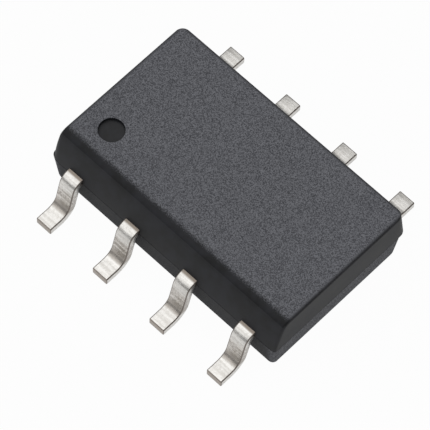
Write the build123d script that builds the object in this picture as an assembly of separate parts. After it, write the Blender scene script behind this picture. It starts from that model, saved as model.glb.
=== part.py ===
import os
from math import cos, radians, sin, tan

from build123d import *

# Eight-lead gull-wing memory chip, in millimetres.
# X runs along the rows of leads and Z = 0 is the seating plane.
# Leads 1 to 4 are on the -Y side, from -X to +X. Leads 5 to 8 are on the +Y side, from +X to -X.

# Moulding, measured at the parting line between its two halves
body_end_margin = 0.595
body_width = 3.05
standoff = 0.10
lower_height = 0.69
upper_height = 0.55
draft_angle = 5.0
corner_radius = 0.15
bevel_corner_radius = 0.10
pin_1_corner_radius = 0.20
pin_1_blend = 0.20
edge_radius = 0.05
parting_lip = 0.02

# Soft bevel along the pin 1 side
bevel_inset = 0.375
bevel_nose_radius = 0.21
bevel_nose_tilt = 30.0

# Round marks left by the mould
dimple_diameter = 0.435
dimple_depth = 0.05
dimple_from_end = 0.61
dimple_from_side = 0.81
ejector_mark_diameter = 0.9
ejector_mark_depth = 0.03

# Leads, stamped from one sheet and formed
lead_pitch = 1.27
leads_per_row = 4
lead_width = 0.32
lead_thickness = 0.15
lead_edge_ease = 0.025
foot_length = 0.46
riser_offset = 0.14
riser_lean = 10.0
upper_bend_radius = 0.15
lower_bend_radius = 0.29

# Ends of the leads inside the moulding
neck_length = 0.12
finger_width = 0.44
finger_tip_pitch = 1.02
finger_gap = 0.18
anchor_hole_diameter = 0.14
anchor_hole_inset = 0.20

# Paddle that carries the die
pad_end_margin = 1.2
pad_side_margin = 0.775
pad_corner_radius = 0.08
pad_downset = 0.20
tie_bar_width = 0.30
tie_bar_run = 0.14
tie_bar_bend_radius = 0.12
tie_bar_cover = 0.16

# Die, its adhesive and the bond wires
die_length = 1.5
die_width = 1.0
die_thickness = 0.22
adhesive_thickness = 0.03
adhesive_margin = 0.04
bond_pitch = 0.38
bond_inset = 0.09
ball_diameter = 0.08
ball_height = 0.025
wire_diameter = 0.03
flats_per_wire = 8
wire_rise = 0.16
stitch_inset = 0.10

# Levels and places that follow from the sizes above
body_length = (leads_per_row - 1) * lead_pitch + 2 * body_end_margin
parting_z = standoff + lower_height
top_z = parting_z + upper_height
side_y = body_width / 2
pad_length = body_length - 2 * pad_end_margin
pad_width = body_width - 2 * pad_side_margin
finger_top_z = parting_z + lead_thickness / 2
pad_z = parting_z - pad_downset
adhesive_z = pad_z + lead_thickness / 2
die_z = adhesive_z + adhesive_thickness
die_top_z = die_z + die_thickness
finger_tip_y = pad_width / 2 + finger_gap
row_steps = [i - (leads_per_row - 1) / 2 for i in range(leads_per_row)]


def round_upright(block, end, row, radius):
    # Rounds the upright edge of one corner: end is -1 or 1 along X, row is -1 or 1 along Y
    edges = [edge for edge in block.edges() if abs((edge % 0.5).Z) > 0.5]
    return fillet(max(edges, key=lambda edge: edge.center().X * end + edge.center().Y * row), radius)


def drafted_section(base, rise):
    # A section that narrows by the draft on both sides, up (+) or down (-) from the parting line
    lean = abs(rise) * tan(radians(draft_angle))
    return make_face(Polyline(
        (-base / 2, parting_z),
        (base / 2, parting_z),
        (base / 2 - lean, parting_z + rise),
        (lean - base / 2, parting_z + rise),
        close=True,
    ))


def lower_half():
    # Narrows towards its base, and stands a small lip inside the upper half all round
    length = body_length - 2 * parting_lip
    width = body_width - 2 * parting_lip
    half = extrude(Plane.YZ * drafted_section(width, -lower_height), amount=length / 2, both=True)
    half &= extrude(Plane.XZ * drafted_section(length, -lower_height), amount=width / 2, both=True)
    half = round_upright(half, -1, -1, pin_1_corner_radius)
    half = round_upright(half, 1, -1, bevel_corner_radius)
    half = round_upright(half, -1, 1, corner_radius)
    half = round_upright(half, 1, 1, corner_radius)
    half = fillet(half.faces().sort_by(Axis.Z)[0].edges(), edge_radius)
    mark = Cylinder(ejector_mark_diameter / 2, 2 * ejector_mark_depth)
    return half - Pos(Z=standoff) * mark


def side_section():
    # Across the upper half: a gently crowned side rolls over into the top, the other side is straight
    nose_y = -side_y + bevel_inset
    tilt = radians(bevel_nose_tilt)
    lean = upper_height * tan(radians(draft_angle))
    root = (-side_y, parting_z)
    shoulder = (
        nose_y - bevel_nose_radius * cos(tilt),
        top_z - bevel_nose_radius * (1 - sin(tilt)),
    )
    crown = TangentArc(shoulder, root, tangent=(-sin(tilt), -cos(tilt)))
    nose = RadiusArc((nose_y, top_z), shoulder, -bevel_nose_radius)
    rest = Polyline(root, (side_y, parting_z), (side_y - lean, top_z), (nose_y, top_z))
    return make_face([nose, crown, rest])


def end_section(pin_1_radius):
    # Along the upper half, with its own rounding at the pin 1 end of the top edge
    section = drafted_section(body_length, upper_height)
    far_corner = section.vertices().sort_by(Axis.Y)[-2:].sort_by(Axis.X)[-1]
    section = fillet(far_corner, edge_radius)
    pin_1_corner = section.vertices().sort_by(Axis.X)[1]
    return fillet(pin_1_corner, pin_1_radius)


def upper_half():
    # The rounding round the top face runs on down both bevelled corners, and widens towards pin 1's
    half = extrude(Plane.YZ * side_section(), amount=body_length / 2, both=True)
    half &= extrude(Plane.XZ * drafted_section(body_length, upper_height), amount=body_width / 2, both=True)
    bevel_plane = Plane.XZ.offset(side_y - bevel_inset)
    flat_plane = bevel_plane.offset(-pin_1_blend)

    bevel = split(half, bevel_plane, keep=Keep.TOP)
    for end, radius in ((-1, pin_1_corner_radius), (1, edge_radius)):
        end_face = max(bevel.faces(), key=lambda face: face.center().X * end)
        bevel = fillet([edge for edge in end_face.edges() if edge.geom_type != GeomType.LINE], radius)

    flat = split(half, flat_plane, keep=Keep.BOTTOM)
    flat = round_upright(flat, -1, 1, corner_radius)
    flat = round_upright(flat, 1, 1, corner_radius)
    top = flat.faces().sort_by(Axis.Z)[-1]
    flat = fillet([edge for edge in top.edges() if edge.center().Y > flat_plane.origin.Y + edge_radius], edge_radius)

    sections = [bevel_plane * end_section(pin_1_corner_radius), flat_plane * end_section(edge_radius)]
    half = bevel + loft(sections, ruled=True) + flat
    dimple = Cylinder(dimple_diameter / 2, 2 * dimple_depth)
    dimple_x = dimple_from_end - body_length / 2
    return half - Pos(dimple_x, dimple_from_side - side_y, top_z) * dimple


def lead_finger(step):
    # Flat end inside the moulding: a waist, a wider blade and a hole that anchors it
    x = step * lead_pitch
    tip_x = step * finger_tip_pitch
    waist_y = side_y - neck_length
    blade_y = waist_y - (finger_width - lead_width) / 2
    outline = Polyline(
        (x - lead_width / 2, waist_y),
        (x - finger_width / 2, blade_y),
        (tip_x - finger_width / 2, finger_tip_y),
        (tip_x + finger_width / 2, finger_tip_y),
        (x + finger_width / 2, blade_y),
        (x + lead_width / 2, waist_y),
        close=True,
    )
    slant = (tip_x - x) / (blade_y - finger_tip_y)
    hole = Pos(x + slant * anchor_hole_inset, blade_y - anchor_hole_inset) * Circle(anchor_hole_diameter / 2)
    blade = make_face(outline) - hole
    return extrude(Pos(Z=parting_z) * blade, amount=lead_thickness / 2, both=True)


def formed_lead(step):
    # A lead of the +Y row: out of the side, down the riser and out along the foot
    x = step * lead_pitch
    waist_y = side_y - neck_length
    shoulder_y = side_y + riser_offset
    foot_z = lead_thickness / 2
    heel_y = shoulder_y + (parting_z - foot_z) * tan(radians(riser_lean))
    path = FilletPolyline(
        (x, waist_y, parting_z),
        (x, shoulder_y, parting_z),
        (x, heel_y, foot_z),
        (x, heel_y + foot_length, foot_z),
        radius=[upper_bend_radius, lower_bend_radius],
    )
    start = Plane(origin=(x, waist_y, parting_z), x_dir=(1, 0, 0), z_dir=(0, 1, 0))
    sheet = Rectangle(lead_width, lead_thickness)
    strip = sweep(start * chamfer(sheet.vertices(), lead_edge_ease), path=path)
    return strip + lead_finger(step)


def die_pad():
    # Paddle set below the leads, with a tie bar cranked up to their level at each end
    pad = Pos(Z=pad_z) * extrude(
        RectangleRounded(pad_length, pad_width, pad_corner_radius), amount=lead_thickness / 2, both=True
    )
    crank_x = pad_length / 2 + tie_bar_run
    path = FilletPolyline(
        (pad_length / 2, 0, pad_z),
        (crank_x, 0, pad_z),
        (crank_x + pad_downset, 0, parting_z),
        (body_length / 2 - tie_bar_cover, 0, parting_z),
        radius=tie_bar_bend_radius,
    )
    start = Plane(origin=(pad_length / 2, 0, pad_z), x_dir=(0, 1, 0), z_dir=(1, 0, 0))
    bar = sweep(start * Rectangle(tie_bar_width, lead_thickness), path=path)
    return pad + bar + Rot(Z=180) * bar


def die_adhesive():
    outline = Rectangle(die_length + 2 * adhesive_margin, die_width + 2 * adhesive_margin)
    return Pos(Z=adhesive_z) * extrude(outline, amount=adhesive_thickness)


def silicon_die():
    return Pos(Z=die_z) * extrude(Rectangle(die_length, die_width), amount=die_thickness)


def bond_wire(step):
    # From a ball on the die up to its crest, and down to a stitch on a finger of the +Y row
    pad_spot = Vector(step * bond_pitch, die_width / 2 - bond_inset, die_top_z)
    stitch = Vector(step * finger_tip_pitch, finger_tip_y + stitch_inset, finger_top_z)
    neck = pad_spot + Vector(0, 0, ball_height)
    crest = neck + Vector(0, 0, wire_rise)
    # The wire runs on below the finger's face until its whole section can be cut flush with it
    run = stitch - crest
    path = Polyline(neck, crest, stitch - run * (wire_diameter / run.Z))
    section = RegularPolygon(wire_diameter / 2, flats_per_wire)
    wire = sweep(Plane(neck) * section, path=path, transition=Transition.RIGHT)
    wire = split(wire, Plane(stitch), keep=Keep.TOP)
    ball = Pos(pad_spot) * extrude(Circle(ball_diameter / 2), amount=ball_height)
    return wire + ball


def mirrored_rows(make, name):
    # Numbers 1 to 4 are the +Y row's shapes turned half a turn, 5 to 8 run back along +Y
    pieces = {}
    for number, step in enumerate(row_steps, 1):
        pieces[f"{name}_{number}"] = Rot(Z=180) * make(-step)
    for number, step in enumerate(reversed(row_steps), leads_per_row + 1):
        pieces[f"{name}_{number}"] = make(step)
    return pieces


pieces = mirrored_rows(formed_lead, "lead")
pieces |= mirrored_rows(bond_wire, "bond_wire")
pieces["die_pad"] = die_pad()
pieces["die_adhesive"] = die_adhesive()
pieces["silicon_die"] = silicon_die()
pieces["mould_body"] = upper_half() + lower_half() - list(pieces.values())

os.makedirs("parts", exist_ok=True)
for name, piece in pieces.items():
    piece.label = name
    export_step(piece, f"parts/{name}.step")
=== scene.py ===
from math import asin, cos, pi, radians, sin, tan

import bmesh
import bpy
from bmesh.types import BMEdge, BMFace, BMVert
from mathutils import Matrix, Vector


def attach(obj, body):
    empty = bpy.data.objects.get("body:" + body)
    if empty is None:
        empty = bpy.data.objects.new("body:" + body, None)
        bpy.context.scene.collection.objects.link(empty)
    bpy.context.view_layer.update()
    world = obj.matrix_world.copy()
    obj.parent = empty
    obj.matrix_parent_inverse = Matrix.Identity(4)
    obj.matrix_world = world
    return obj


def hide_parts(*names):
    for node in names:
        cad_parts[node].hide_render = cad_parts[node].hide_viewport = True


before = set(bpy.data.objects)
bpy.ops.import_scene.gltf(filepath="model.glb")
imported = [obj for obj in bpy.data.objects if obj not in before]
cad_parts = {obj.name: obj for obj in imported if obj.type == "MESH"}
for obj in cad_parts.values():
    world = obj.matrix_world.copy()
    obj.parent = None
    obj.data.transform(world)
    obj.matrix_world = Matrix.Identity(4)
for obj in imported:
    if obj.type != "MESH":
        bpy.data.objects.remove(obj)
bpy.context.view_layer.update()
scene = bpy.context.scene
print("frame loaded:", len(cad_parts), "nodes")

# All the pieces are modelled in millimetres and turned to metres when they are finished
mm = 0.001
weldGap = 1e-5  # mm; corners nearer than this are one
cutGap = 1e-6  # mm; corners nearer than this to a cut lie on it
levelGap = 1e-4  # mm; heights and widths nearer than this are the same
facing = 0.9  # a face whose normal has more than this along an axis looks that way


def linearColour(hexCode):
    # sRGB hex to linear, with a full alpha
    levels = [int(hexCode[i:i + 2], 16) / 255 for i in (1, 3, 5)]
    return [v / 12.92 if v <= 0.04045 else ((v + 0.055) / 1.055) ** 2.4 for v in levels] + [1.0]


def addNode(tree, kind, settings=None, values=None, links=None):
    # One node with its settings, its fixed values and the outputs that feed it
    node = tree.nodes.new(kind)
    for name, value in (settings or {}).items():
        setattr(node, name, value)
    for socket, value in (values or {}).items():
        node.inputs[socket].default_value = value
    for socket, source in (links or {}).items():
        tree.links.new(source, node.inputs[socket])
    return node


def newMaterial(name):
    # An empty node tree with Object coordinates counted in millimetres
    material = bpy.data.materials.new(name)
    material.use_nodes = True
    tree = material.node_tree
    tree.nodes.clear()
    coords = addNode(tree, "ShaderNodeTexCoord")
    inMillimetres = addNode(tree, "ShaderNodeMapping", values={"Scale": (1 / mm, 1 / mm, 1 / mm)},
                            links={"Vector": coords.outputs["Object"]})
    return material, tree, inMillimetres.outputs["Vector"]


def only(kind, geom):
    # The corners, edges or faces among what an operator gives back, in its order
    return [part for part in geom if isinstance(part, kind)]


def edgesBetween(bm, verts):
    # In the mesh's own order
    return [edge for edge in bm.edges if edge.verts[0] in verts and edge.verts[1] in verts]


def flattest(bm, up):
    # The largest face that looks up (1) or down (-1)
    return max(bm.faces, key=lambda face: up * face.normal.z * face.calc_area())


def roundEdges(bm, edges, radius, steps):
    return bmesh.ops.bevel(bm, geom=edges, offset=radius, offset_type="OFFSET", affect="EDGES",
                           segments=steps, profile=0.5, material=-1, clamp_overlap=False,
                           loop_slide=True)["faces"]


def roundByWeight(bm, radius, steps):
    # Rounds the edges by their bevel weights, where 1 is the full radius
    mesh = bpy.data.meshes.new("weighted")
    bm.to_mesh(mesh)
    bm.free()
    holder = bpy.data.objects.new("weighted", mesh)
    scene.collection.objects.link(holder)
    rounding = holder.modifiers.new("rounding", "BEVEL")
    rounding.limit_method = "WEIGHT"
    rounding.offset_type = "OFFSET"
    rounding.width = radius
    rounding.segments = steps
    rounding.profile = 0.5
    rounding.use_clamp_overlap = False
    bpy.context.view_layer.update()
    rounded = bmesh.new()
    rounded.from_object(holder, bpy.context.evaluated_depsgraph_get())
    bpy.data.objects.remove(holder)
    bpy.data.meshes.remove(mesh)
    return rounded


def finishPiece(bm, name, materials, node, sharpAngle):
    # Closes off a modelled piece: faces out, metres, smooth with crisp edges, riding on the chip
    bmesh.ops.remove_doubles(bm, verts=bm.verts[:], dist=weldGap)
    bmesh.ops.recalc_face_normals(bm, faces=bm.faces[:])
    for face in bm.faces:
        face.smooth = True
    for edge in bm.edges:
        edge.smooth = edge.calc_face_angle(0) < radians(sharpAngle)
    openEdges = [edge for edge in bm.edges if len(edge.link_faces) != 2]
    print(name, "faces", len(bm.faces), "open edges", len(openEdges))
    bmesh.ops.scale(bm, vec=(mm, mm, mm), verts=bm.verts[:])
    mesh = bpy.data.meshes.new(name)
    bm.to_mesh(mesh)
    bm.free()
    for material in materials:
        mesh.materials.append(material)
    piece = bpy.data.objects.new(name, mesh)
    scene.collection.objects.link(piece)
    weighted = piece.modifiers.new("crispFlats", "WEIGHTED_NORMAL")
    weighted.keep_sharp = True
    weighted.weight = 100
    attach(piece, "root")
    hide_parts(node)


# Sizes of the moulding in millimetres, with the pin 1 side at -Y and pin 1 at -X
mould = {
    "length": 5.0,
    "width": 3.05,
    "bottom": 0.10,  # height over the floor
    "parting": 0.79,
    "top": 1.34,
    "draft": 5.0,  # degrees
    "lip": 0.02,  # the lower half is smaller by this all round
    "corner": 0.15,
    "bevelCorner": 0.10,
    "pinOneCorner": 0.23,  # at the parting line; it narrows to edge at the nose
    "pinOneShare": 0.9,  # of the way down from the nose, where that full width is reached
    "pinOneLift": 0.003,  # its last corner is set back to this far over the parting line
    "pinOneLow": 0.11,
    "pinOneBase": 0.15,
    "edge": 0.05,
    "bevelInset": 0.375,  # the bevel's crest lies this far in from the pin 1 side
    "noseRadius": 0.21,
    "noseTilt": 30.0,  # degrees from upright where the nose ends
    # Marks: x, y, radius, depth, and the easing of the rim
    "dimple": (-1.89, -0.715, 0.2175, 0.065, 0.018),
    "ejectorMark": (0.0, 0.0, 0.45, 0.03, 0.006),
}

mouldFinish = {
    "smooth": "#08090c",
    "smoothLight": "#17181d",
    # Near-black tones that paint the shadow under the lip, on the ledge and in the marks' walls
    "paintedShadowDark": "#121214",
    "paintedShadowLight": "#232427",
    "erodedDark": "#2f3035",
    "erodedLight": "#636469",
    "lowDark": "#313237",
    "lowLight": "#707176",
    # Real spark-eroded grain is finer than a pixel of the render, so both grains are drawn coarser
    "grainPerMm": 60.0,
    "lowPerMm": 42.0,
    "grainSpread": (0.40, 0.60),  # the part of the noise that runs from dark to light
    "grainHeight": 0.0035,  # mm
    "smoothRelief": 0.08,  # share of that height on the smooth faces
    "flowPerMm": 5.0,  # clouds where the resin flowed
    "flowSpread": (0.35, 0.65),
    "gloss": 0.43,  # specular levels
    # lower on the nose, to paint the dark shaded band below the bevel's crest
    "noseGloss": 0.26,
    "stepGloss": 0.04,
    "smoothRoughness": (0.50, 0.62),
    "erodedRoughness": (0.70, 0.86),
    "stepRoughness": (0.80, 0.92),
    "noseSlope": (0.70, 0.998),  # faces whose normals rise by this much are the nose
    "topDepth": (0.020, 0.012),  # mm under the top, from no grain to full grain
    "rimFade": 0.06,  # mm over which the grain ends at the rims, and twice that at the bevel's crest
    "rimWander": 0.03,  # mm that this line strays
    "lowFade": 0.015,  # mm
    "lowShare": (0.08, 0.95),  # share of the grain's colour on the lower half's long sides, and at its ends; the small share paints the long sides darker, as shade
    "endDepth": (0.24, 0.08),  # mm from the ends, where it changes from one to the other
    "stepDepth": 0.11,  # mm that the painted shadow under the lip reaches below the parting line at the ends
    "sideStepDepth": 0.092,  # and along the sides
}


def mouldedEpoxy(name, gloss):
    # Carbon-black epoxy moulding compound, transfer moulded in a steel cavity.
    # The spark-eroded top and lower half scatter light as an even charcoal grain, whose colour the lower
    # half's long sides mostly go without, as painted shade; the polished sides, the rolled edges and the
    # dimple's floor stay smooth and darker.
    material, tree, place = newMaterial(name)
    fine = addNode(tree, "ShaderNodeTexNoise",
                   values={"Scale": mouldFinish["grainPerMm"], "Detail": 3.0, "Roughness": 0.6},
                   links={"Vector": place})
    blotch = addNode(tree, "ShaderNodeTexNoise", values={"Scale": mouldFinish["flowPerMm"], "Detail": 2.0},
                     links={"Vector": place})
    spot = addNode(tree, "ShaderNodeSeparateXYZ", links={"Vector": place})
    along = addNode(tree, "ShaderNodeMath", {"operation": "ABSOLUTE"}, links={0: spot.outputs["X"]})
    wander = mouldFinish["rimWander"]
    uneven = addNode(tree, "ShaderNodeMapRange",
                     values={"From Min": 0.3, "From Max": 0.7, "To Min": -wander, "To Max": wander},
                     links={"Value": fine.outputs["Fac"]})
    # The eroded top ends near its rim on each side, along a slightly uneven line
    crest = mould["bevelInset"] - mould["width"] / 2
    rimFade = mouldFinish["rimFade"]
    farRim = mould["width"] / 2 - mould["edge"]
    endRim = mould["length"] / 2 - mould["edge"]
    bareDepth, grainedDepth = mouldFinish["topDepth"]
    topGrain = addNode(tree, "ShaderNodeMapRange",
                       values={"From Min": mould["top"] - bareDepth, "From Max": mould["top"] - grainedDepth},
                       links={"Value": spot.outputs["Z"]})
    for position, bare, grained in ((spot.outputs["Y"], crest - rimFade, crest + rimFade),
                                    (spot.outputs["Y"], farRim, farRim - rimFade),
                                    (along.outputs["Value"], endRim, endRim - rimFade)):
        wavy = addNode(tree, "ShaderNodeMath", {"operation": "ADD"},
                       links={0: position, 1: uneven.outputs["Result"]})
        side = addNode(tree, "ShaderNodeMapRange", {"interpolation_type": "SMOOTHSTEP"},
                       {"From Min": bare, "From Max": grained}, {"Value": wavy.outputs["Value"]})
        topGrain = addNode(tree, "ShaderNodeMath", {"operation": "MULTIPLY"},
                           links={0: topGrain.outputs[0], 1: side.outputs["Result"]})
    lowTop = mould["parting"] - mouldFinish["sideStepDepth"] + mouldFinish["lowFade"]
    lowGrain = addNode(tree, "ShaderNodeMapRange",
                       values={"From Min": lowTop, "From Max": lowTop - mouldFinish["lowFade"]},
                       links={"Value": spot.outputs["Z"]})
    # Below the parting line the grain's relief and roughness run all round, but its light colour goes mostly
    # to the ends, so the long sides stay dark as painted shade
    sideEnd, cornerStart = mouldFinish["endDepth"]
    sideShare, endShare = mouldFinish["lowShare"]
    atEnd = addNode(tree, "ShaderNodeMapRange", {"interpolation_type": "SMOOTHSTEP"},
                    {"From Min": mould["length"] / 2 - sideEnd, "From Max": mould["length"] / 2 - cornerStart,
                     "To Min": sideShare, "To Max": endShare},
                    {"Value": along.outputs["Value"]})
    lowShare = addNode(tree, "ShaderNodeMath", {"operation": "MULTIPLY"},
                       links={0: lowGrain.outputs["Result"], 1: atEnd.outputs["Result"]})
    eroded = addNode(tree, "ShaderNodeMath", {"operation": "MAXIMUM"},
                     links={0: topGrain.outputs["Value"], 1: lowShare.outputs["Value"]})
    matted = addNode(tree, "ShaderNodeMath", {"operation": "MAXIMUM"},
                     links={0: topGrain.outputs["Value"], 1: lowGrain.outputs["Result"]})
    # The two grains, of which the lower half's was eroded more coarsely
    coarse = addNode(tree, "ShaderNodeTexNoise", values={"Scale": mouldFinish["lowPerMm"], "Detail": 2.0},
                     links={"Vector": place})
    darkEnd, lightEnd = mouldFinish["grainSpread"]
    grainColour, lowColour = [
        addNode(tree, "ShaderNodeMix", {"data_type": "RGBA"},
                {"A": linearColour(mouldFinish[dark]), "B": linearColour(mouldFinish[light])},
                {"Factor": addNode(tree, "ShaderNodeMapRange",
                                   values={"From Min": darkEnd, "From Max": lightEnd},
                                   links={"Value": noise.outputs["Fac"]}).outputs["Result"]})
        for noise, dark, light in ((fine, "erodedDark", "erodedLight"), (coarse, "lowDark", "lowLight"))]
    grained = addNode(tree, "ShaderNodeMix", {"data_type": "RGBA"},
                      links={"Factor": lowGrain.outputs["Result"], "A": grainColour.outputs["Result"],
                             "B": lowColour.outputs["Result"]})
    clearEnd, cloudyEnd = mouldFinish["flowSpread"]
    flow = addNode(tree, "ShaderNodeMapRange", values={"From Min": clearEnd, "From Max": cloudyEnd},
                   links={"Value": blotch.outputs["Fac"]})
    smooth = addNode(tree, "ShaderNodeMix", {"data_type": "RGBA"},
                     {"A": linearColour(mouldFinish["smooth"]),
                      "B": linearColour(mouldFinish["smoothLight"])},
                     {"Factor": flow.outputs["Result"]})
    colour = addNode(tree, "ShaderNodeMix", {"data_type": "RGBA"},
                     links={"Factor": eroded.outputs["Value"], "A": smooth.outputs["Result"],
                            "B": grained.outputs["Result"]})
    smoothRoughness, erodedRoughness = [
        addNode(tree, "ShaderNodeMapRange", values={"To Min": low, "To Max": high},
                links={"Value": blotch.outputs["Fac"]})
        for low, high in (mouldFinish["smoothRoughness"], mouldFinish["erodedRoughness"])]
    roughness = addNode(tree, "ShaderNodeMix", {"data_type": "FLOAT"},
                        links={"Factor": matted.outputs["Value"], "A": smoothRoughness.outputs["Result"],
                               "B": erodedRoughness.outputs["Result"]})
    relief = addNode(tree, "ShaderNodeMapRange",
                     values={"To Min": mouldFinish["smoothRelief"], "To Max": 1.0},
                     links={"Value": matted.outputs["Value"]})
    bump = addNode(tree, "ShaderNodeBump", values={"Distance": mouldFinish["grainHeight"] * mm},
                   links={"Height": fine.outputs["Fac"], "Strength": relief.outputs["Result"]})
    shader = addNode(tree, "ShaderNodeBsdfPrincipled", values={"IOR": 1.5, "Specular IOR Level": gloss},
                     links={"Base Color": colour.outputs["Result"],
                            "Roughness": roughness.outputs["Result"], "Normal": bump.outputs["Normal"]})
    addNode(tree, "ShaderNodeOutputMaterial", links={"Surface": shader.outputs["BSDF"]})
    return material


def paintedShadowResin():
    # The same resin in the step under the parting line and on the marks' walls, near-black, rough and with
    # little gloss.
    # This paints the shadow under the lip and in the marks: almost no light comes back from so rough a black.
    material, tree, place = newMaterial("paintedShadowResin")
    pores = addNode(tree, "ShaderNodeTexNoise", values={"Scale": mouldFinish["grainPerMm"], "Detail": 2.0},
                    links={"Vector": place})
    colour = addNode(tree, "ShaderNodeValToRGB", links={"Fac": pores.outputs["Fac"]})
    colour.color_ramp.elements[0].color = linearColour(mouldFinish["paintedShadowDark"])
    colour.color_ramp.elements[1].color = linearColour(mouldFinish["paintedShadowLight"])
    low, high = mouldFinish["stepRoughness"]
    roughness = addNode(tree, "ShaderNodeMapRange", values={"To Min": low, "To Max": high},
                        links={"Value": pores.outputs["Fac"]})
    shader = addNode(tree, "ShaderNodeBsdfPrincipled",
                     values={"IOR": 1.5, "Specular IOR Level": mouldFinish["stepGloss"]},
                     links={"Base Color": colour.outputs["Color"],
                            "Roughness": roughness.outputs["Result"]})
    addNode(tree, "ShaderNodeOutputMaterial", links={"Surface": shader.outputs["BSDF"]})
    return material


def sinkMark(bm, face, mark, level, inward):
    # A round mark sunk into a flat face, with its wall in the near-black resin that paints the shade inside
    # it, and its edge eased
    x, y, radius, depth, ease = mark
    rim = face.edges[:]
    bmesh.ops.delete(bm, geom=[face], context="FACES_ONLY")
    ring = bmesh.ops.create_circle(bm, radius=radius, segments=48,
                                   matrix=Matrix.Translation((x, y, level)))["verts"]
    ringEdges = edgesBetween(bm, ring)
    bmesh.ops.triangle_fill(bm, use_beauty=True, edges=rim + ringEdges)
    wall = bmesh.ops.extrude_edge_only(bm, edges=ringEdges)["geom"]
    for wallFace in only(BMFace, wall):
        wallFace.material_index = 1
    lowVerts = only(BMVert, wall)
    bmesh.ops.translate(bm, vec=(0, 0, inward * depth), verts=lowVerts)
    floorEdges = [edge for edge in only(BMEdge, wall) if all(v in lowVerts for v in edge.verts)]
    for floorFace in bmesh.ops.contextual_create(bm, geom=floorEdges)["faces"]:
        floorFace.material_index = 0
    roundEdges(bm, ringEdges, ease, 2)


def upperSection(bm, reach):
    # Sweeps the section's two arcs at the end -reach, closes it, and gives the height where the nose ends
    halfWidth = mould["width"] / 2
    noseY = mould["bevelInset"] - halfWidth
    tilt = radians(mould["noseTilt"])
    crest = bm.verts.new((-reach, noseY, mould["top"]))
    nose = bmesh.ops.spin(bm, geom=[crest], cent=(-reach, noseY, mould["top"] - mould["noseRadius"]),
                          axis=(1, 0, 0), angle=pi / 2 - tilt, steps=8, use_duplicate=False)["geom_last"]
    shoulder = only(BMVert, nose)[0]
    noseEnd = shoulder.co.z
    # The crowned side is an arc that leaves the nose smoothly and ends at the parting line
    chord = Vector((0, -halfWidth, mould["parting"])) - Vector((0, shoulder.co.y, shoulder.co.z))
    inward = Vector((0, cos(tilt), -sin(tilt)))
    crownRadius = chord.length_squared / (2 * chord.dot(inward))
    crown = bmesh.ops.spin(bm, geom=[shoulder], cent=shoulder.co + inward * crownRadius, axis=(1, 0, 0),
                           angle=2 * asin(chord.length / (2 * crownRadius)), steps=12,
                           use_duplicate=False)["geom_last"]
    root = only(BMVert, crown)[0]
    lean = (mould["top"] - mould["parting"]) * tan(radians(mould["draft"]))
    farTop = bm.verts.new((-reach, halfWidth - lean, mould["top"]))
    farRoot = bm.verts.new((-reach, halfWidth, mould["parting"]))
    for pair in ((crest, farTop), (farTop, farRoot), (farRoot, root)):
        bm.edges.new(pair)
    return noseEnd


def upperHalf():
    # The section of the upper half is drawn out along the chip and cut to the draft at its ends
    bm = bmesh.new()
    reach = mould["length"] / 2 + 0.2  # past the ends, which the cuts take off
    noseEnd = upperSection(bm, reach)
    section = bmesh.ops.contextual_create(bm, geom=bm.edges[:])["faces"]
    drawn = bmesh.ops.extrude_face_region(bm, geom=section)["geom"]
    bmesh.ops.translate(bm, vec=(2 * reach, 0, 0), verts=only(BMVert, drawn))
    slope = radians(mould["draft"])
    for side in (-1, 1):
        bmesh.ops.bisect_plane(bm, geom=bm.verts[:] + bm.edges[:] + bm.faces[:], dist=cutGap,
                               plane_co=(side * mould["length"] / 2, 0, mould["parting"]),
                               plane_no=(side * cos(slope), 0, sin(slope)), clear_outer=True)
        bmesh.ops.contextual_create(bm, geom=[edge for edge in bm.edges if edge.is_boundary])
    bmesh.ops.recalc_face_normals(bm, faces=bm.faces[:])
    bmesh.ops.delete(bm, geom=[face for face in bm.faces if face.normal.z < -facing], context="FACES_ONLY")
    halfRise = (mould["top"] - mould["parting"]) / 2
    uprights = [edge for edge in bm.edges
                if abs(edge.verts[0].co.z - edge.verts[1].co.z) > halfRise and edge.verts[0].co.y > 0]
    roundEdges(bm, uprights, mould["corner"], 8)
    bmesh.ops.recalc_face_normals(bm, faces=bm.faces[:])
    # The pin 1 corner is widest at the parting line and narrows upwards; the other edges are rolled evenly
    noseY = mould["bevelInset"] - mould["width"] / 2
    topFace = flattest(bm, 1)
    ends = [face for face in bm.faces if abs(face.normal.x) > facing]
    weights = bm.edges.layers.float.new("bevel_weight_edge")
    narrow = mould["edge"] / mould["pinOneCorner"]
    fullDrop = mould["pinOneShare"] * (noseEnd - mould["parting"])
    for edge in topFace.edges[:] + [edge for face in ends for edge in face.edges]:
        middle = (edge.verts[0].co + edge.verts[1].co) / 2
        alongNose = middle.y < noseY + levelGap
        crestLine = alongNose and edge in topFace.edges[:]
        if edge.is_boundary or crestLine or edge.calc_face_angle(0) < radians(30):
            continue
        drop = noseEnd - max(v.co.z for v in edge.verts) if alongNose and middle.x < 0 else 0
        edge[weights] = min(narrow + (1 - narrow) * max(drop, 0) / fullDrop, 1)
    bm = roundByWeight(bm, mould["pinOneCorner"], 6)
    # Where the rounding widens, its last corner slides past the parting line and is set back
    for v in bm.verts:
        if v.co.z < mould["parting"] - levelGap:
            v.co.z = mould["parting"] + (0 if v.is_boundary else mould["pinOneLift"])
            v.co.x = max(v.co.x, -mould["length"] / 2)
    topFace = flattest(bm, 1)
    # The nose's faces take the low-gloss epoxy that paints the shaded band there
    gentle, flat = mouldFinish["noseSlope"]
    for face in bm.faces:
        if face.calc_center_median().y < noseY and gentle < face.normal.z < flat:
            face.material_index = 2
    sinkMark(bm, topFace, mould["dimple"], mould["top"], -1)
    return bm


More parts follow.
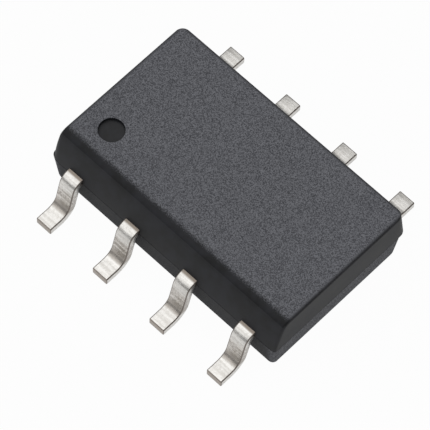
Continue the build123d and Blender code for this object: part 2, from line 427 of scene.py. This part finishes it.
def lowerHalf():
    # A drafted block that narrows downwards, a lip's width inside the upper half
    bm = bmesh.new()
    fall = mould["parting"] - mould["bottom"]
    lean = 2 * fall * tan(radians(mould["draft"]))
    length = mould["length"] - 2 * mould["lip"]
    width = mould["width"] - 2 * mould["lip"]
    block = bmesh.ops.create_cube(bm, size=1.0)["verts"]
    bmesh.ops.scale(bm, vec=(length, width, fall), verts=block)
    bmesh.ops.translate(bm, vec=(0, 0, mould["bottom"] + fall / 2), verts=block)
    base = [v for v in block if v.co.z < mould["parting"] - fall / 2]
    bmesh.ops.scale(bm, vec=(1 - lean / length, 1 - lean / width, 1), verts=base)
    bmesh.ops.delete(bm, geom=[face for face in bm.faces if face.normal.z > facing], context="FACES_ONLY")
    corners = ((-1, -1, mould["pinOneLow"]), (1, -1, mould["bevelCorner"]),
               (-1, 1, mould["corner"]), (1, 1, mould["corner"]))
    for end, row, radius in corners:
        uprights = [edge for edge in bm.edges
                    if abs(edge.verts[0].co.z - edge.verts[1].co.z) > fall / 2]
        outermost = max(uprights, key=lambda edge: sum(v.co.x * end + v.co.y * row for v in edge.verts))
        roundEdges(bm, [outermost], radius, 8)
    bmesh.ops.recalc_face_normals(bm, faces=bm.faces[:])
    # The base's edge is rolled more widely round the pin 1 corner
    baseFace = flattest(bm, -1)
    weights = bm.edges.layers.float.new("bevel_weight_edge")
    narrow = mould["edge"] / mould["pinOneBase"]
    pinOne = min((v.co for v in baseFace.verts), key=lambda co: co.x + co.y).copy()
    for edge in baseFace.edges:
        gap = ((edge.verts[0].co + edge.verts[1].co) / 2 - pinOne).length / mould["pinOneLow"]
        edge[weights] = narrow + (1 - narrow) * max(1 - gap, 0)
    bm = roundByWeight(bm, mould["pinOneBase"], 5)
    # The band just under the parting line is its own ring of faces, for the painted shadow line under the
    # lip, and it is deeper at the ends than along the sides
    for depth in (mouldFinish["stepDepth"], mouldFinish["sideStepDepth"]):
        bmesh.ops.bisect_plane(bm, geom=bm.verts[:] + bm.edges[:] + bm.faces[:], dist=cutGap,
                               plane_co=(0, 0, mould["parting"] - depth), plane_no=(0, 0, 1))
    for face in bm.faces:
        depth = mouldFinish["sideStepDepth"] if abs(face.normal.y) > facing else mouldFinish["stepDepth"]
        face.material_index = 1 if face.calc_center_median().z > mould["parting"] - depth else 0
    sinkMark(bm, flattest(bm, -1), mould["ejectorMark"], mould["bottom"], 1)
    return bm


def mouldBody():
    # The two halves are one shot of resin, joined across the small ledge at the parting line
    bm = bmesh.new()
    for half in (upperHalf(), lowerHalf()):
        part = bpy.data.meshes.new("half")
        half.to_mesh(part)
        half.free()
        bm.from_mesh(part)
        bpy.data.meshes.remove(part)
    gap = [edge for edge in bm.edges if edge.is_boundary]
    ledge = bmesh.ops.triangle_fill(bm, use_beauty=True, edges=gap)["geom"]
    # The ledge under the lip takes the painted-shadow resin too
    for face in only(BMFace, ledge):
        face.material_index = 1
    bmesh.ops.remove_doubles(bm, verts=bm.verts[:], dist=weldGap)
    manySided = [face for face in bm.faces if len(face.verts) > 4]
    bmesh.ops.triangulate(bm, faces=manySided, ngon_method="BEAUTY")
    # The faces' material numbers: 0 on most, 1 in the step and on the marks' walls, 2 on the nose.
    # Number 1 is a near-black resin that paints the shadow under the lip and in the marks.
    # On the nose a lower specular level paints the nearly black shaded band seen just below the bevel's
    # crest.
    finishes = (mouldedEpoxy("mouldedEpoxy", mouldFinish["gloss"]), paintedShadowResin(),
                mouldedEpoxy("paintedShadeNoseEpoxy", mouldFinish["noseGloss"]))
    finishPiece(bm, "mouldedBody", finishes, "mould_body", 40)


mouldBody()
print("moulding made")

# Sizes of a lead in millimetres; its places count outwards from the chip's long middle line,
# and the corners of its path are where the straight runs would meet without the bends
lead = {
    "perRow": 4,
    "pitch": 1.27,
    "width": 0.32,
    "thickness": 0.15,
    "bladeTip": 0.93,  # the inner end, sealed in the resin
    "bladeTipPitch": 1.02,
    "bladeWidth": 0.44,
    "bladeStart": 1.345,
    "hole": 0.14,
    "holeInset": 0.20,
    "waist": 1.405,
    "stub": 0.04,  # first straight run, with sharp edges
    "level": 0.79,  # height of its middle where it leaves the resin
    "shoulder": 1.63,  # upper corner of the path
    "lean": 12.7,  # degrees that the riser leans out
    "heel": 1.7911,  # lower corner of the path
    "footTip": 2.2511,
    "upperBend": 0.15,
    "lowerBend": 0.29,
    "edge": 0.018,
}

tinFinish = {
    "tin": "#ebe9e5",
    "tinShade": "#cfccc7",
    # The riser's tones: the forming tool's streaks, darker also as painted shade
    "rubbedAndShaded": "#e0dcd7",
    "rubbedAndShadedDark": "#a39d96",
    # Painted shade in the lower bend's concave crease
    "lowerBendShade": "#b2aca5",
    # Painted reflection of the dark body in the tin at the lead's root
    "bodyReflection": "#8c837a",
    "trimmedTip": "#aca49c",
    # Tones of the cut edges; their darkness along the rounding is partly painted shade
    "edge": "#978f88",
    "edgeShade": "#6c6560",
    # The plate's crystals and the tool's scratches are finer than a pixel, so they are drawn coarser
    "specklePerMm": 30.0,
    "speckleHeight": 0.0022,  # mm
    "streakPerMm": 22.0,
    "streakSqueeze": 0.05,  # streaks are drawn out across the lead by the inverse of this
    "toneSpread": (0.41, 0.59),
    # Heights over the floor in mm, and how far each zone takes to fade in or out
    "rubbedAndShadedFrom": 0.165,
    "rubbedAndShadedFromFade": 0.03,
    "rubbedAndShadedTo": 0.66,
    "shadedZoneTopFade": 0.12,
    "lowerBendShadeTo": 0.38,
    "bodyReflectionReach": (0.048, 0.012),  # mm out from the moulding, from untouched to fully darkened
    "tipDepth": (0.008, 0.002),  # mm back from the foot's end
    "roughness": (0.26, 0.42),
    "edgeRoughness": (0.35, 0.50),
}


def matteTin():
    # Copper alloy strip, electroplated with matte tin and then formed.
    # The eye sees a soft white metal with a fine speckle, and fine streaks across the bent part.
    material, tree, place = newMaterial("matteTin")
    speckle = addNode(tree, "ShaderNodeTexNoise",
                      values={"Scale": tinFinish["specklePerMm"], "Detail": 3.0, "Roughness": 0.65},
                      links={"Vector": place})
    squeezed = addNode(tree, "ShaderNodeMapping", values={"Scale": (tinFinish["streakSqueeze"], 1.0, 1.0)},
                       links={"Vector": place})
    streak = addNode(tree, "ShaderNodeTexNoise",
                     values={"Scale": tinFinish["streakPerMm"], "Detail": 2.0},
                     links={"Vector": squeezed.outputs["Vector"]})
    tone = addNode(tree, "ShaderNodeMix", {"data_type": "FLOAT"}, {"Factor": 0.5},
                   {"A": speckle.outputs["Fac"], "B": streak.outputs["Fac"]})
    darkEnd, lightEnd = tinFinish["toneSpread"]
    spread = addNode(tree, "ShaderNodeMapRange", values={"From Min": darkEnd, "From Max": lightEnd},
                     links={"Value": tone.outputs["Result"]})
    # The riser and the lower bend are drawn darker, in bands across the lead: the bands are the forming
    # tool's streaks, and the darker tone is partly painted shade for the dimmer reflection on these slopes
    tones = []
    for dark, light in (("tinShade", "tin"), ("rubbedAndShadedDark", "rubbedAndShaded")):
        ramp = addNode(tree, "ShaderNodeValToRGB", links={"Fac": spread.outputs["Result"]})
        ramp.color_ramp.elements[0].color = linearColour(tinFinish[dark])
        ramp.color_ramp.elements[1].color = linearColour(tinFinish[light])
        tones.append(ramp)
    plain, rubbedAndShaded = tones
    spot = addNode(tree, "ShaderNodeSeparateXYZ", links={"Vector": place})
    aboveFoot, belowShoulder, belowHeel = [
        addNode(tree, "ShaderNodeMapRange", {"interpolation_type": "SMOOTHSTEP"},
                {"From Min": outside, "From Max": inside}, {"Value": spot.outputs["Z"]})
        for outside, inside in (
            (tinFinish["rubbedAndShadedFrom"], tinFinish["rubbedAndShadedFrom"] + tinFinish["rubbedAndShadedFromFade"]),
            (tinFinish["rubbedAndShadedTo"], tinFinish["rubbedAndShadedTo"] - tinFinish["shadedZoneTopFade"]),
            (tinFinish["lowerBendShadeTo"], tinFinish["lowerBendShadeTo"] - tinFinish["shadedZoneTopFade"]))]
    rubbedAndShadedZone, lowerBendShadeZone = [
        addNode(tree, "ShaderNodeMath", {"operation": "MULTIPLY"},
                links={0: aboveFoot.outputs["Result"], 1: below.outputs["Result"]})
        for below in (belowShoulder, belowHeel)]
    metal = addNode(tree, "ShaderNodeMix", {"data_type": "RGBA"},
                    links={"Factor": rubbedAndShadedZone.outputs["Value"], "A": plain.outputs["Color"],
                           "B": rubbedAndShaded.outputs["Color"]})
    # The lower bend, a concave crease, is drawn the dullest, as painted shade
    bendShaded = addNode(tree, "ShaderNodeMix", {"data_type": "RGBA"},
                     {"B": linearColour(tinFinish["lowerBendShade"])},
                     {"Factor": lowerBendShadeZone.outputs["Value"], "A": metal.outputs["Result"]})
    # Painted reflection: the tin is darkened where it leaves the moulding, for the dark body mirrored there
    out = addNode(tree, "ShaderNodeMath", {"operation": "ABSOLUTE"}, links={0: spot.outputs["Y"]})
    unreflected, full = tinFinish["bodyReflectionReach"]
    bodyReflected = addNode(tree, "ShaderNodeMapRange", {"interpolation_type": "SMOOTHSTEP"},
                   {"From Min": mould["width"] / 2 + unreflected, "From Max": mould["width"] / 2 + full},
                   {"Value": out.outputs["Value"]})
    withBodyReflection = addNode(tree, "ShaderNodeMix", {"data_type": "RGBA"},
                      {"B": linearColour(tinFinish["bodyReflection"])},
                      {"Factor": bodyReflected.outputs["Result"], "A": bendShaded.outputs["Result"]})
    low, high = tinFinish["roughness"]
    roughness = addNode(tree, "ShaderNodeMapRange", values={"To Min": low, "To Max": high},
                        links={"Value": speckle.outputs["Fac"]})
    bump = addNode(tree, "ShaderNodeBump", values={"Distance": tinFinish["speckleHeight"] * mm},
                   links={"Height": tone.outputs["Result"]})
    shader = addNode(tree, "ShaderNodeBsdfPrincipled", values={"Metallic": 1.0},
                     links={"Base Color": withBodyReflection.outputs["Result"],
                            "Roughness": roughness.outputs["Result"], "Normal": bump.outputs["Normal"]})
    addNode(tree, "ShaderNodeOutputMaterial", links={"Surface": shader.outputs["BSDF"]})
    return material


def shearedTinAndEdgeShade():
    # The strip's stamped edges and its trimmed end: tin smeared thin over copper alloy.
    # The eye sees a dull warm tip, and a thin darker line along each rounded edge, partly painted shade for
    # the dark line the rounding shows.
    material, tree, place = newMaterial("shearedTinAndEdgeShade")
    smear = addNode(tree, "ShaderNodeTexNoise",
                    values={"Scale": tinFinish["specklePerMm"], "Detail": 2.0}, links={"Vector": place})
    colour = addNode(tree, "ShaderNodeValToRGB", links={"Fac": smear.outputs["Fac"]})
    colour.color_ramp.elements[0].color = linearColour(tinFinish["edgeShade"])
    colour.color_ramp.elements[1].color = linearColour(tinFinish["edge"])
    spot = addNode(tree, "ShaderNodeSeparateXYZ", links={"Vector": place})
    out = addNode(tree, "ShaderNodeMath", {"operation": "ABSOLUTE"}, links={0: spot.outputs["Y"]})
    before, full = tinFinish["tipDepth"]
    atTip = addNode(tree, "ShaderNodeMapRange",
                    values={"From Min": lead["footTip"] - before, "From Max": lead["footTip"] - full},
                    links={"Value": out.outputs["Value"]})
    metal = addNode(tree, "ShaderNodeMix", {"data_type": "RGBA"},
                    {"B": linearColour(tinFinish["trimmedTip"])},
                    {"Factor": atTip.outputs["Result"], "A": colour.outputs["Color"]})
    low, high = tinFinish["edgeRoughness"]
    roughness = addNode(tree, "ShaderNodeMapRange", values={"To Min": low, "To Max": high},
                        links={"Value": smear.outputs["Fac"]})
    shader = addNode(tree, "ShaderNodeBsdfPrincipled", values={"Metallic": 1.0},
                     links={"Base Color": metal.outputs["Result"],
                            "Roughness": roughness.outputs["Result"]})
    addNode(tree, "ShaderNodeOutputMaterial", links={"Surface": shader.outputs["BSDF"]})
    return material


def stampBlade(bm, x, tipX):
    # The sealed inner end: a blade with an anchor hole, which narrows to the waist
    low = lead["level"] - lead["thickness"] / 2
    outline = [
        (x - lead["width"] / 2, lead["waist"]), (x - lead["bladeWidth"] / 2, lead["bladeStart"]),
        (tipX - lead["bladeWidth"] / 2, lead["bladeTip"]), (tipX + lead["bladeWidth"] / 2, lead["bladeTip"]),
        (x + lead["bladeWidth"] / 2, lead["bladeStart"]), (x + lead["width"] / 2, lead["waist"]),
    ]
    corners = [bm.verts.new((cornerX, cornerY, low)) for cornerX, cornerY in outline]
    rim = [bm.edges.new((corners[i], corners[i - 1])) for i in range(len(corners))]
    slant = (tipX - x) / (lead["bladeStart"] - lead["bladeTip"])
    middle = (x + slant * lead["holeInset"], lead["bladeStart"] - lead["holeInset"], low)
    hole = bmesh.ops.create_circle(bm, radius=lead["hole"] / 2, segments=16,
                                   matrix=Matrix.Translation(middle))["verts"]
    sheet = bmesh.ops.triangle_fill(bm, use_beauty=True, edges=rim + edgesBetween(bm, hole))["geom"]
    raised = bmesh.ops.extrude_face_region(bm, geom=only(BMFace, sheet))["geom"]
    bmesh.ops.translate(bm, vec=(0, 0, lead["thickness"]), verts=only(BMVert, raised))
    bmesh.ops.recalc_face_normals(bm, faces=bm.faces[:])


def bendStrip(bm, endFace, turn, bendRadius):
    # Turns the strip's end face about a line across the lead, up (+) or down (-)
    middle = endFace.calc_center_median()
    side = Vector((1, 0, 0)).cross(endFace.normal) * (1 if turn > 0 else -1)
    bent = bmesh.ops.spin(bm, geom=[endFace] + endFace.edges[:] + endFace.verts[:],
                          cent=middle + side * bendRadius, axis=(1, 0, 0), angle=turn, steps=7,
                          use_duplicate=False)["geom_last"]
    return only(BMFace, bent)[0]


def drawStrip(bm, endFace, distance):
    # Draws the strip straight on from its end face
    ahead = endFace.normal.copy()
    drawn = bmesh.ops.extrude_face_region(bm, geom=[endFace])["geom"]
    bmesh.ops.translate(bm, vec=ahead * distance, verts=only(BMVert, drawn))
    return only(BMFace, drawn)[0]


def makeLead(number, finishes):
    # Numbers 1 to 4 run along -Y from -X, 5 to 8 back along +Y.
    # All are drawn at +Y, and the first four are turned half round at the end.
    nearRow = number <= lead["perRow"]
    place = number - 1 if nearRow else 2 * lead["perRow"] - number
    step = place - (lead["perRow"] - 1) / 2
    if nearRow:
        step = -step
    bm = bmesh.new()
    stampBlade(bm, step * lead["pitch"], step * lead["bladeTipPitch"])
    # From the waist the strip goes straight out, down the riser and out along the foot
    lean = radians(lead["lean"])
    turn = pi / 2 - lean
    upperTrim = lead["upperBend"] * tan(turn / 2)
    lowerTrim = lead["lowerBend"] * tan(turn / 2)
    riser = (lead["level"] - lead["thickness"] / 2) / cos(lean)
    endFace = max(bm.faces, key=lambda face: face.calc_center_median().y)
    endFace = drawStrip(bm, endFace, lead["stub"])
    endFace = drawStrip(bm, endFace, lead["shoulder"] - lead["waist"] - lead["stub"] - upperTrim)
    endFace = bendStrip(bm, endFace, -turn, lead["upperBend"])
    endFace = drawStrip(bm, endFace, riser - upperTrim - lowerTrim)
    endFace = bendStrip(bm, endFace, turn, lead["lowerBend"])
    drawStrip(bm, endFace, lead["footTip"] - lead["heel"] - lowerTrim)
    bmesh.ops.remove_doubles(bm, verts=bm.verts[:], dist=weldGap)
    # Drawing and bending leave the former end faces inside the strip
    inner = [face for face in bm.faces if all(len(edge.link_faces) > 2 for edge in face.edges)]
    bmesh.ops.delete(bm, geom=inner, context="FACES_ONLY")
    bmesh.ops.recalc_face_normals(bm, faces=bm.faces[:])
    edgeStart = lead["waist"] + lead["stub"] / 2
    corners = [edge for edge in bm.edges
               if min(v.co.y for v in edge.verts) > edgeStart and edge.calc_face_angle(0) > radians(60)]
    # The trimmed tip and the rounded edges take the second finish, whose darker edges are partly painted
    # shade
    max(bm.faces, key=lambda face: face.calc_center_median().y).material_index = 1
    for face in roundEdges(bm, corners, lead["edge"], 3):
        face.material_index = 1
    if nearRow:
        bmesh.ops.rotate(bm, verts=bm.verts[:], cent=(0, 0, 0), matrix=Matrix.Rotation(pi, 3, "Z"))
    finishPiece(bm, f"platedLead{number}", finishes, f"lead_{number}", 50)


leadFinishes = (matteTin(), shearedTinAndEdgeShade())
for number in range(1, 2 * lead["perRow"] + 1):
    makeLead(number, leadFinishes)
print("leads made")

hiddenFinishes = {
    # name: two colours, pattern per mm, roughness from and to, metallic, relief in mm
    "stampedCopper": ("#b4765a", "#c98a6b", 24.0, 0.28, 0.42, 1.0, 0.0012),
    "silverFilledEpoxy": ("#a9a7a1", "#8d8b86", 45.0, 0.45, 0.65, 0.6, 0.0025),
    "polishedSilicon": ("#4a5263", "#5d6577", 12.0, 0.10, 0.18, 0.0, 0.0002),
    "drawnGold": ("#d9ad4e", "#e6bf69", 60.0, 0.18, 0.30, 1.0, 0.0004),
}


def hiddenFinish(name):
    # The pieces sealed in the resin: rolled copper, cured die adhesive, ground silicon and drawn gold wire.
    # Each shows its own metal or gloss with the small unevenness of its process.
    low, high, perMm, smooth, rough, metallic, relief = hiddenFinishes[name]
    material, tree, place = newMaterial(name)
    grain = addNode(tree, "ShaderNodeTexNoise", values={"Scale": perMm, "Detail": 2.0},
                    links={"Vector": place})
    colour = addNode(tree, "ShaderNodeValToRGB", links={"Fac": grain.outputs["Fac"]})
    colour.color_ramp.elements[0].color = linearColour(low)
    colour.color_ramp.elements[1].color = linearColour(high)
    roughness = addNode(tree, "ShaderNodeMapRange", values={"To Min": smooth, "To Max": rough},
                        links={"Value": grain.outputs["Fac"]})
    bump = addNode(tree, "ShaderNodeBump", values={"Distance": relief * mm},
                   links={"Height": grain.outputs["Fac"]})
    shader = addNode(tree, "ShaderNodeBsdfPrincipled", values={"Metallic": metallic},
                     links={"Base Color": colour.outputs["Color"],
                            "Roughness": roughness.outputs["Result"], "Normal": bump.outputs["Normal"]})
    addNode(tree, "ShaderNodeOutputMaterial", links={"Surface": shader.outputs["BSDF"]})
    return material


# These pieces keep their CAD solids
sealed = {
    "die_pad": hiddenFinish("stampedCopper"),
    "die_adhesive": hiddenFinish("silverFilledEpoxy"),
    "silicon_die": hiddenFinish("polishedSilicon"),
}
goldWire = hiddenFinish("drawnGold")
sealed.update({f"bond_wire_{number}": goldWire for number in range(1, 2 * lead["perRow"] + 1)})
for node, material in sealed.items():
    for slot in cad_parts[node].material_slots:
        slot.material = material
print("sealed pieces finished:", len(sealed))

studio = {
    "white": "#ffffff",
    "floorRadius": 400.0,  # mm
    "paper": (0.38, 0.42),  # how light the paper is where it shows the chip's shadow
    "shadowShare": 0.03,
    "mirrorShare": 0.76,  # of the floor's white in the chip's reflections
    "worldDiffuse": 0.55,
    "worldGlossy": 0.22,
}


def whiteFloor():
    # White paper sweep: white to the eye and in reflections, and it keeps a faint shadow under the chip
    bm = bmesh.new()
    bmesh.ops.create_circle(bm, cap_ends=True, radius=studio["floorRadius"] * mm, segments=64)
    mesh = bpy.data.meshes.new("whiteFloor")
    bm.to_mesh(mesh)
    bm.free()
    floor = bpy.data.objects.new("whiteFloor", mesh)
    scene.collection.objects.link(floor)
    material, tree, place = newMaterial("whitePaper")
    fibre = addNode(tree, "ShaderNodeTexNoise", values={"Scale": 2.0, "Detail": 2.0},
                    links={"Vector": place})
    low, high = studio["paper"]
    tone = addNode(tree, "ShaderNodeMapRange", values={"To Min": low, "To Max": high},
                   links={"Value": fibre.outputs["Fac"]})
    paper = addNode(tree, "ShaderNodeBsdfDiffuse", links={"Color": tone.outputs["Result"]})
    glow = addNode(tree, "ShaderNodeEmission",
                   values={"Color": linearColour(studio["white"]), "Strength": 1.0})
    rays = addNode(tree, "ShaderNodeLightPath")
    mirrored = addNode(tree, "ShaderNodeMath", {"operation": "MULTIPLY"}, {1: studio["mirrorShare"]},
                       {0: rays.outputs["Is Glossy Ray"]})
    seen = addNode(tree, "ShaderNodeMath", {"operation": "MAXIMUM"},
                   links={0: rays.outputs["Is Camera Ray"], 1: mirrored.outputs["Value"]})
    seenAll = addNode(tree, "ShaderNodeMath", {"operation": "MAXIMUM"},
                      links={0: seen.outputs["Value"], 1: rays.outputs["Is Transmission Ray"]})
    share = addNode(tree, "ShaderNodeMath", {"operation": "MULTIPLY"}, {1: 1 - studio["shadowShare"]},
                    {0: seenAll.outputs["Value"]})
    mixed = addNode(tree, "ShaderNodeMixShader", links={0: share.outputs["Value"], 1: paper.outputs["BSDF"],
                                                        2: glow.outputs["Emission"]})
    addNode(tree, "ShaderNodeOutputMaterial", links={"Surface": mixed.outputs["Shader"]})
    mesh.materials.append(material)


def softWorld():
    # White behind the chip, a quieter grey for what lights it and what its metal mirrors
    world = bpy.data.worlds.new("studioRoom")
    scene.world = world
    world.use_nodes = True
    tree = world.node_tree
    tree.nodes.clear()
    rays = addNode(tree, "ShaderNodeLightPath")
    lit = addNode(tree, "ShaderNodeMix", {"data_type": "FLOAT"},
                  {"A": studio["worldDiffuse"], "B": studio["worldGlossy"]},
                  {"Factor": rays.outputs["Is Glossy Ray"]})
    strength = addNode(tree, "ShaderNodeMix", {"data_type": "FLOAT"}, {"B": 1.0},
                       {"Factor": rays.outputs["Is Camera Ray"], "A": lit.outputs["Result"]})
    room = addNode(tree, "ShaderNodeBackground", values={"Color": linearColour(studio["white"])},
                   links={"Strength": strength.outputs["Result"]})
    addNode(tree, "ShaderNodeOutputWorld", links={"Surface": room.outputs["Background"]})


softboxes = {
    # name: direction from the chip, distance and side in mm, brightness where 1 is white
    "overhead": ((-0.32, -0.22, 0.92), 300.0, 600.0, 1.02),
}


def hangSoftbox(name, direction, distance, side, brightness):
    light = bpy.data.lights.new(name, "AREA")
    light.shape = "SQUARE"
    light.size = side * mm
    light.energy = brightness * pi * (side * mm) ** 2
    lamp = bpy.data.objects.new(name, light)
    scene.collection.objects.link(lamp)
    aim = Vector(direction).normalized()
    lamp.location = aim * distance * mm
    lamp.rotation_mode = "QUATERNION"
    lamp.rotation_quaternion = aim.to_track_quat("Z", "Y")
    lamp.visible_camera = False


photoCamera = {
    "azimuth": 41.10,  # degrees
    "elevation": 62.71,
    "roll": 3.37,
    "focalPixels": 3680.0,
    "pixelsPerMm": 61.95,  # at the chip
    "offsetX": 10.8,  # pixels
    "offsetY": -0.3,
    "framePixels": 430.0,
    "sensor": 36.0,  # mm
    "clip": (1.0, 2000.0),  # mm
}


def placeCamera():
    # A long lens looks down over the pin 1 corner, and the offsets slide it
    # so that the chip sits as in the picture
    azimuth = radians(photoCamera["azimuth"])
    elevation = radians(photoCamera["elevation"])
    roll = radians(photoCamera["roll"])
    ahead = Vector((-sin(azimuth) * cos(elevation), cos(azimuth) * cos(elevation), -sin(elevation)))
    level = ahead.cross(Vector((0, 0, 1))).normalized()
    upright = level.cross(ahead)
    right = cos(roll) * level + sin(roll) * upright
    up = cos(roll) * upright - sin(roll) * level
    perMm = photoCamera["pixelsPerMm"]
    distance = photoCamera["focalPixels"] / perMm
    spot = -distance * ahead - photoCamera["offsetX"] / perMm * right + photoCamera["offsetY"] / perMm * up
    near, far = photoCamera["clip"]
    data = bpy.data.cameras.new("photoCamera")
    data.sensor_width = photoCamera["sensor"]
    data.lens = photoCamera["focalPixels"] / photoCamera["framePixels"] * photoCamera["sensor"]
    data.clip_start = near * mm
    data.clip_end = far * mm
    camera = bpy.data.objects.new("photoCamera", data)
    scene.collection.objects.link(camera)
    camera.matrix_world = Matrix.Translation(spot * mm) @ Matrix((right, up, -ahead)).transposed().to_4x4()
    scene.camera = camera


whiteFloor()
softWorld()
for name, (direction, distance, side, brightness) in softboxes.items():
    hangSoftbox(name, direction, distance, side, brightness)
placeCamera()
scene.view_settings.view_transform = "Standard"
print("studio ready")
